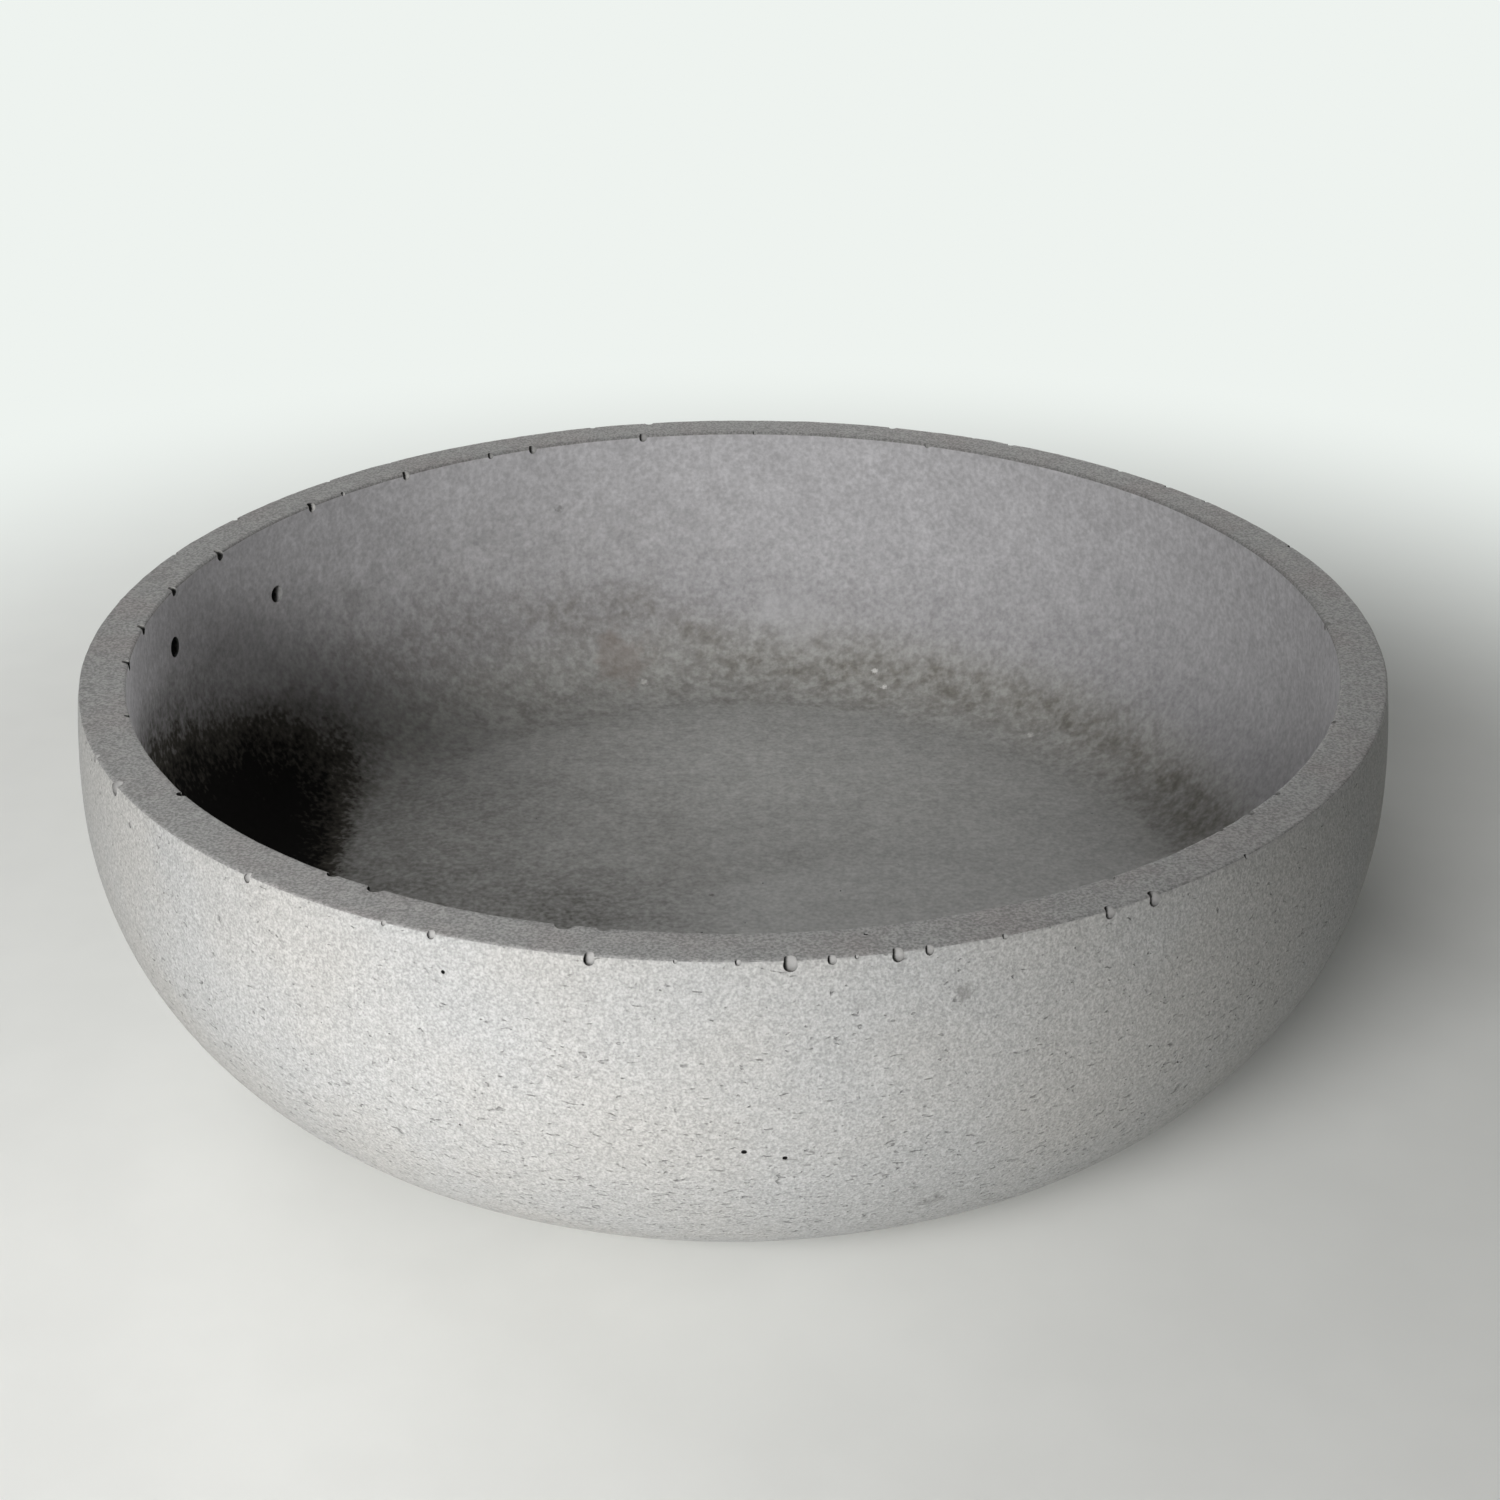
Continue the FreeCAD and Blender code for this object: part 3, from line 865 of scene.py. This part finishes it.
TIDE_LINE = 0.0392
TIDE_RISE = 0.0152
RAISED_BEARINGS = (150.0, 62.0, 44.0)
RIGHT_BEARINGS = (10.0, 75.0, 25.0)
BAND_ABOVE, BAND_BELOW = 0.012, 0.004
BAND_FOOT, BAND_FULL = -0.001, 0.008
RIGHT_FOOT_LOWER, RIGHT_FULL_HIGHER = 0.004, 0.008
BAND_STRENGTH, RAISED_LOSS = 0.50, 0.10
UPPER_LINE_BEARINGS = (45.0, 85.0, 40.0)
UPPER_LINE_DROP, UPPER_LINE_HALF = 0.002, 0.006
UPPER_LINE_STRENGTH = 0.15
CREASE_CLIMB, CREASE_HALF = 0.0022, 0.0036
CREASE_STRENGTH, CREASE_LOSS = 0.20, 0.4
LEFT_HAZE_BEARINGS, LEFT_HAZE_HEIGHTS = (142.0, 75.0, 18.0), (0.105, 0.060)
LEFT_HAZE_STRENGTH = 0.22
RIGHT_HAZE_BEARINGS, RIGHT_HAZE_HEIGHTS = (58.0, 45.0, 15.0), (0.075, 0.048)
RIGHT_HAZE_STRENGTH = 0.12

raised = round_about(*RAISED_BEARINGS)
right_side = round_about(*RIGHT_BEARINGS)
tide_line = TIDE_LINE + TIDE_RISE * raised
band_foot = BAND_FOOT - RIGHT_FOOT_LOWER * right_side
band_full = BAND_FULL + RIGHT_FULL_HIGHER * right_side
band = step(z, tide_line + BAND_ABOVE, tide_line - BAND_BELOW) * step(climb, band_foot, band_full)
upper_line = step(np.abs(z - tide_line + UPPER_LINE_DROP), UPPER_LINE_HALF, 0.0)
upper_line = upper_line * round_about(*UPPER_LINE_BEARINGS)
# Painted shade: a darker line along the corner where the cove meets the floor.
crease = step(np.abs(climb - CREASE_CLIMB), CREASE_HALF, 0.0)
crease = crease * (1.0 - right_side) * (1.0 - CREASE_LOSS * raised)
left_haze = LEFT_HAZE_STRENGTH * round_about(*LEFT_HAZE_BEARINGS) * step(z, *LEFT_HAZE_HEIGHTS)
right_haze = RIGHT_HAZE_STRENGTH * round_about(*RIGHT_HAZE_BEARINGS) * step(z, *RIGHT_HAZE_HEIGHTS)
haze = (left_haze + right_haze) * (1.0 - band)
tide_and_painted_shade = (BAND_STRENGTH - RAISED_LOSS * raised) * band
tide_and_painted_shade = tide_and_painted_shade + UPPER_LINE_STRENGTH * upper_line + CREASE_STRENGTH * crease + haze

# The black patch at the left is partly soil stain and partly painted shade. Around it a wider brown patch
# of painted shade darkens the left wall and the cove.
BLACK_PATCH = {"bearing": 190.0, "half_angle": 39.0, "middle_climb": 0.0212, "half_climb": 0.0250}
BLACK_EDGE, BLACK_HEART = 1.5, 0.15
BLACK_STRENGTH = 2.0
PAINTED_SHADE_PATCH = {"bearing": 190.0, "half_angle": 44.0, "middle_climb": 0.034, "half_climb": 0.050}
PAINTED_SHADE_EDGE, PAINTED_SHADE_HEART = 1.05, 0.2
PAINTED_SHADE_CLIMB = (-0.004, 0.004)
PAINTED_SHADE_STRENGTH = 0.70
# Painted shade on the floor: darker at the left and just behind the front lip, where the walls shade it.
LEFT_SHADE_ACROSS, LEFT_SHADE_DEEP = (0.03, -0.10), (0.12, 0.04)
LEFT_SHADE_STRENGTH = 0.23
FRONT_SHADE_ACROSS, FRONT_SHADE_DEEP = (0.0, -0.09), (0.035, -0.02)
FRONT_SHADE_STRENGTH = 0.14
LIP_SHADE_RIGHT, LIP_SHADE_LEFT, LIP_SHADE_DEEP = (0.02, -0.015), (-0.066, -0.036), (0.02, -0.01)
LIP_SHADE_STRENGTH = 0.16
FLOOR_SHADE_CLIMB = (0.010, 0.0)
# A faint darkening at the right end of the cove, partly soil stain and partly painted shade.
FAINT_BEARINGS, FAINT_HEIGHTS, FAINT_CLIMB = (8.0, 40.0, 4.0), (0.052, 0.034), (0.0, 0.010)
FAINT_STRENGTH = 0.22

black = BLACK_STRENGTH * patch(**BLACK_PATCH, edge=BLACK_EDGE, heart=BLACK_HEART)
painted_shade = PAINTED_SHADE_STRENGTH * patch(**PAINTED_SHADE_PATCH, edge=PAINTED_SHADE_EDGE, heart=PAINTED_SHADE_HEART) * step(climb, *PAINTED_SHADE_CLIMB)
painted_left_shade = LEFT_SHADE_STRENGTH * step(x, *LEFT_SHADE_ACROSS) * step(y, *LEFT_SHADE_DEEP)
painted_front_shade = step(x, *FRONT_SHADE_ACROSS) * step(y, *FRONT_SHADE_DEEP)
painted_lip_shade = step(x, *LIP_SHADE_RIGHT) * step(x, *LIP_SHADE_LEFT) * step(y, *LIP_SHADE_DEEP)
painted_floor_shade = painted_left_shade + FRONT_SHADE_STRENGTH * painted_front_shade + LIP_SHADE_STRENGTH * painted_lip_shade
painted_floor_shade = painted_floor_shade * step(climb, *FLOOR_SHADE_CLIMB)
faint = FAINT_STRENGTH * round_about(*FAINT_BEARINGS) * step(z, *FAINT_HEIGHTS)
faint = faint * step(climb, *FAINT_CLIMB)
soil_and_painted_shading = np.maximum(black + painted_shade * np.clip(1.0 - black, 0.0, 1.0), np.maximum(faint, painted_floor_shade))

polygon_finish = np.empty(len(mesh.polygons), np.int32)
polygon_corners = np.empty(len(mesh.polygons), np.int32)
corner_vertex = np.empty(len(mesh.loops), np.int32)
mesh.polygons.foreach_get("material_index", polygon_finish)
mesh.polygons.foreach_get("loop_total", polygon_corners)
mesh.loops.foreach_get("vertex_index", corner_vertex)
in_hole = np.ones(len(mesh.vertices), bool)
hole_slot = mesh.materials.find(hole_finish.name)
in_hole[corner_vertex[np.repeat(polygon_finish, polygon_corners) != hole_slot]] = False

# Painted shade in the air holes: black on their side away from the light, or all over in the pin holes
# and the notches of the front lip. Painted light in white lies on the other side of some inner holes.
ON_BUBBLE = 1.05
RIGHTWARD, UPWARD = (1.0, 0.0, 0.0), (0.0, 0.0, 1.0)
ALL_OVER = (3.0, 2.0)
CRESCENT, PAINTED_LIGHT_CRESCENT_LOSS = 0.30, 0.15
OUTER_SHADE_ACROSS = (-0.10, -0.03)
INNER_SHADE, INNER_SHADE_LOSS, INNER_LOSS_ACROSS = 0.9, 0.5, (0.0, 0.05)
PAINTED_LIGHT_SHARE, PAINTED_LIGHT_ACROSS = 0.8, (-0.075, -0.095)
FAR_LEFT, FAR_LEFT_SPLIT, FAR_LEFT_PAINTED_LIGHT = -0.12, (0.35, -0.15), 0.9
WALL_HOLE_SPLITS = ((0.25, -0.05), (0.58, 0.28))


def paint_bubble_shading(bubble, side, split, most, painted_light=0.0):
    """Paints shade in a bubble, from a plain or painted-light share of its radius along a side to a
    painted-shade share.
    """
    centre, radius = bubble
    off = (points - np.array(centre)) / radius
    on_bubble = in_hole & (np.linalg.norm(off, axis=1) < ON_BUBBLE)
    shade_share = step(off @ np.array(side), *split)
    soil_and_painted_shading[on_bubble] = (most * shade_share - painted_light * (1.0 - shade_share))[on_bubble]


def paint_left_shade(bubble, facing, crescent, most, painted_light=0.0):
    """Paints shade in the left of a bubble as the camera sees it, which is the side away from the light.
    """
    mouth = bubble[0].xy.normalized() * facing
    left_edge = ARRIS_INSET * mouth.x - OPENING_SHARE * abs(mouth.y)
    paint_bubble_shading(bubble, RIGHTWARD, (left_edge + 2 * crescent, left_edge + crescent), most, painted_light)


for bubble in outer_bubbles:
    paint_left_shade(bubble, FROM_CENTRE, CRESCENT, step(bubble[0].x, *OUTER_SHADE_ACROSS))
for bubble in inner_bubbles:
    across = bubble[0].x
    if across < FAR_LEFT:
        paint_bubble_shading(bubble, UPWARD, FAR_LEFT_SPLIT, INNER_SHADE, FAR_LEFT_PAINTED_LIGHT)
    else:
        painted_light = PAINTED_LIGHT_SHARE * step(across, *PAINTED_LIGHT_ACROSS)
        most = INNER_SHADE - INNER_SHADE_LOSS * step(across, *INNER_LOSS_ACROSS)
        paint_left_shade(bubble, TO_CENTRE, CRESCENT - PAINTED_LIGHT_CRESCENT_LOSS * painted_light, most, painted_light)
for bubble, split in zip(wall_bubbles, WALL_HOLE_SPLITS):
    paint_bubble_shading(bubble, RIGHTWARD, split, 1.0)
for bubble in pin_bubbles + lip_bubbles:
    paint_bubble_shading(bubble, UPWARD, ALL_OVER, 1.0)

for name, values in (("tide_and_painted_shade", tide_and_painted_shade), ("soil_and_painted_shading", soil_and_painted_shading)):
    mark = mesh.attributes.new(name, "FLOAT", "POINT")
    mark.data.foreach_set("value", values.astype(np.float32))

SHARP_EDGE = math.radians(35)
mesh.shade_smooth()
mesh.set_sharp_from_angle(angle=SHARP_EDGE)
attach(casting, "root")
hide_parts("bowl_casting")


# Foot pads
# Four round black rubber pads keep the base off what it stands on. Each is die-cut from sheet with an
# eased edge and sits in its moulded seat.
PADS = ("right_foot_pad", "back_foot_pad", "left_foot_pad", "front_foot_pad")
RUBBER_BLACK = (0.018, 0.018, 0.018, 1.0)
RUBBER_WORN = (0.06, 0.058, 0.055, 1.0)
PEBBLE_SIZE = 0.0006
PEBBLE_RELIEF = 0.00005
WEAR_SIZE = 0.005
WEAR_SPAN = (0.5, 0.8)
MOST_WEAR = 0.6


def pad_rubber():
    """Dull black sheet rubber with a fine pebbled skin and grey wear."""
    material, tree, surface, place = start_material("pad_rubber", roughness=0.75)
    pebbles = grain(tree, place, PEBBLE_SIZE)
    wear = clouded(tree, grain(tree, place, WEAR_SIZE), 0.0, MOST_WEAR, WEAR_SPAN)
    colour = blend(tree, wear, RUBBER_BLACK, RUBBER_WORN)
    tree.links.new(colour, surface.inputs["Base Color"])
    relief(tree, surface, (pebbles, PEBBLE_RELIEF))
    return material


def finish_pieces(names, finish):
    """Gives these pieces of the frame one finish all over."""
    for name in names:
        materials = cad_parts[name].data.materials
        materials.clear()
        materials.append(finish)


finish_pieces(PADS, pad_rubber())


# Pad adhesive
# Thin double-sided discs of milky film, die-cut to the size of the pads. Each lies between its pad and
# the roof of the seat and holds the pad in place.
ADHESIVES = ("right_pad_adhesive", "back_pad_adhesive", "left_pad_adhesive", "front_pad_adhesive")
FILM_DARK = (0.62, 0.58, 0.48, 1.0)
FILM_LIGHT = (0.70, 0.67, 0.58, 1.0)
FILM_CLOUD_SIZE = 0.002
FILM_RELIEF = 0.00003


def adhesive_film():
    """Milky film with a faint mottle."""
    material, tree, surface, place = start_material("adhesive_film", roughness=0.55)
    clouds = grain(tree, place, FILM_CLOUD_SIZE)
    colour = blend(tree, clouds, FILM_DARK, FILM_LIGHT)
    tree.links.new(colour, surface.inputs["Base Color"])
    relief(tree, surface, (clouds, FILM_RELIEF))
    return material


finish_pieces(ADHESIVES, adhesive_film())


# Floor and light
# A plain pale painted floor that fades to the backdrop far off. Soft lights at the front left, behind, at
# the side and low at the rear fall on the bowl alone, two more on the floor alone, over a weak even fill.
FLOOR_SIDE = 14.0
FLOOR_PAINT = (0.84, 0.845, 0.815)
FLOOR_CLOUD_SIZE = 0.03
FLOOR_BOUNCE = 0.54
BACKDROP_PAINT = (0.855, 0.895, 0.865, 1.0)
FADE_CENTRE = (0.0, 0.0, 0.0)
FADE_FROM, FADE_TO = 0.24, 0.52

bpy.ops.mesh.primitive_plane_add(size=FLOOR_SIDE, location=(0.0, 0.0, 0.0))
floor = bpy.context.object
floor.name = "floor"


def seen_directly(tree):
    """1 for what the camera sees, also in gloss and through glass, and 0 for light on its way."""
    rays = add_node(tree, "ShaderNodeLightPath").outputs
    seen = math_of(tree, "MAXIMUM", rays["Is Camera Ray"], rays["Is Glossy Ray"])
    return math_of(tree, "MAXIMUM", seen, rays["Is Transmission Ray"])


def floor_paint():
    """Faintly clouded pale paint that gives back little light and takes the backdrop's colour far off."""
    material, tree, surface, place = start_material("floor_paint", roughness=0.6)
    pattern = grain(tree, place, FLOOR_CLOUD_SIZE)
    clouds = clouded(tree, pattern, at_low=0.985, at_high=1.01, span=WIDE_SPAN)
    bounce = remap(tree, seen_directly(tree), 0.0, 1.0, FLOOR_BOUNCE, 1.0, smooth=False)
    tree.links.new(shaded(tree, FLOOR_PAINT, clouds, bounce), surface.inputs["Base Color"])
    inputs = {0: place, 1: FADE_CENTRE}
    distance = add_node(tree, "ShaderNodeVectorMath", inputs, operation="DISTANCE").outputs["Value"]
    fade = remap(tree, distance, FADE_FROM, FADE_TO, 0.0, 1.0)
    far_off = math_of(tree, "MULTIPLY", fade, seen_directly(tree))
    pale = add_node(tree, "ShaderNodeEmission", {"Color": BACKDROP_PAINT, "Strength": 1.0})
    inputs = {0: far_off, 1: surface.outputs[0], 2: pale.outputs[0]}
    faded = add_node(tree, "ShaderNodeMixShader", inputs)
    tree.links.new(faded.outputs[0], tree.nodes["Material Output"].inputs["Surface"])
    return material


floor.data.materials.append(floor_paint())


def light_group(name, state):
    """Group that has a light fall on the floor alone, or on all but the floor."""
    group = bpy.data.collections.new(name)
    group.objects.link(floor)
    group.collection_objects[0].light_linking.link_state = state
    return group


def soft_light(name, place, aim, side, watts, falls_on, spread=180):
    """Square soft light that isn't seen itself; a narrow spread is a grid over its face."""
    light = bpy.data.objects.new(name, bpy.data.lights.new(name, "AREA"))
    bpy.context.scene.collection.objects.link(light)
    light.data.size = side
    light.data.energy = watts
    light.data.spread = math.radians(spread)
    light.location = place
    light.rotation_mode = "QUATERNION"
    light.rotation_quaternion = (Vector(aim) - Vector(place)).to_track_quat("-Z", "Y")
    light.visible_camera = False
    light.light_linking.receiver_collection = falls_on


bowl_alone = light_group("bowl_alone", "EXCLUDE")
floor_alone = light_group("floor_alone", "INCLUDE")
soft_light(
    "key_light", place=(-0.25, -0.88, 0.30), aim=(-0.088, -0.20, 0.052),
    side=0.26, watts=0.338, falls_on=bowl_alone, spread=25,
)
soft_light(
    "back_light", place=(0.28, 0.78, 0.58), aim=(0.0, 0.0, 0.05),
    side=0.80, watts=5.2, falls_on=bowl_alone,
)
soft_light(
    "side_light", place=(-0.60, 0.15, 0.80), aim=(0.0, 0.0, 0.05),
    side=0.70, watts=2.1, falls_on=bowl_alone,
)
soft_light(
    "rear_light", place=(0.10, 0.95, 0.085), aim=(0.0, 0.15, 0.05),
    side=0.16, watts=2.6, falls_on=bowl_alone,
)
soft_light(
    "floor_light", place=(-0.55, -1.25, 0.60), aim=(0.0, -0.10, 0.0),
    side=0.70, watts=27.0, falls_on=floor_alone,
)
soft_light(
    "floor_side_light", place=(-0.80, 0.60, 0.80), aim=(0.0, 0.0, 0.0),
    side=0.70, watts=4.2, falls_on=floor_alone,
)

FILL_WHITE = (1.0, 1.0, 1.0, 1.0)
FILL_LEVEL = 0.03
world = bpy.data.worlds.new("surround")
bpy.context.scene.world = world
world.use_nodes = True
sky = world.node_tree
sky.nodes.clear()
fill = add_node(sky, "ShaderNodeBackground", {"Color": FILL_WHITE, "Strength": FILL_LEVEL})
backdrop = add_node(sky, "ShaderNodeBackground", {"Color": BACKDROP_PAINT, "Strength": 1.0})
mixed = add_node(sky, "ShaderNodeMixShader", {
    0: seen_directly(sky), 1: fill.outputs[0], 2: backdrop.outputs[0],
})
add_node(sky, "ShaderNodeOutputWorld", {"Surface": mixed.outputs[0]})

bpy.context.scene.view_settings.view_transform = "Standard"
